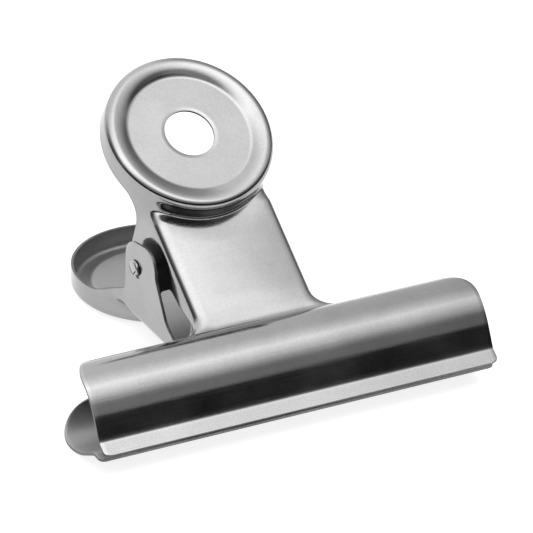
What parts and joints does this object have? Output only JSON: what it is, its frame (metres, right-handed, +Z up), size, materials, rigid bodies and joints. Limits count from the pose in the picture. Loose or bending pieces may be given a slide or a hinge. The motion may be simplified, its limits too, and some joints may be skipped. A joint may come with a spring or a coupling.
{
  "type": "bulldog clip",
  "caption": "All-steel spring clip: hinged stamped leaves with round dished thumb pads and wide rounded jaws that a coil spring holds shut.",
  "frame": {"origin": "middle of the clip's footprint as it lies on its lower leaf, on the surface it lies on", "axes": "+X along the jaws and the hinge, +Y from the jaws to the thumb pads, +Z up"},
  "size_m": [0.0766, 0.0706, 0.0442],
  "materials": {
    "leaf_steel": "bright nickel-plated sheet, satin, with fine rolling lines",
    "pin_steel": "plain bright wire, peened ends",
    "spring_steel": "drawn spring wire"
  },
  "bodies": {
    "lower": {"lower_leaf": "leaf_steel", "pivot_pin": "pin_steel", "torsion_spring": "spring_steel"},
    "upper": {"upper_leaf": "leaf_steel"}
  },
  "joints": [
    {"name": "jaw_hinge", "type": "hinge", "parent": "lower", "child": "upper", "pos_m": [0, 0.00344, 0.0152], "axis": [-1, 0, 0], "range_deg": [0, 35], "stiffness_Nm_per_rad": 0.3, "springref_deg": -28.65, "deforming": ["torsion_spring"]}
  ]
}
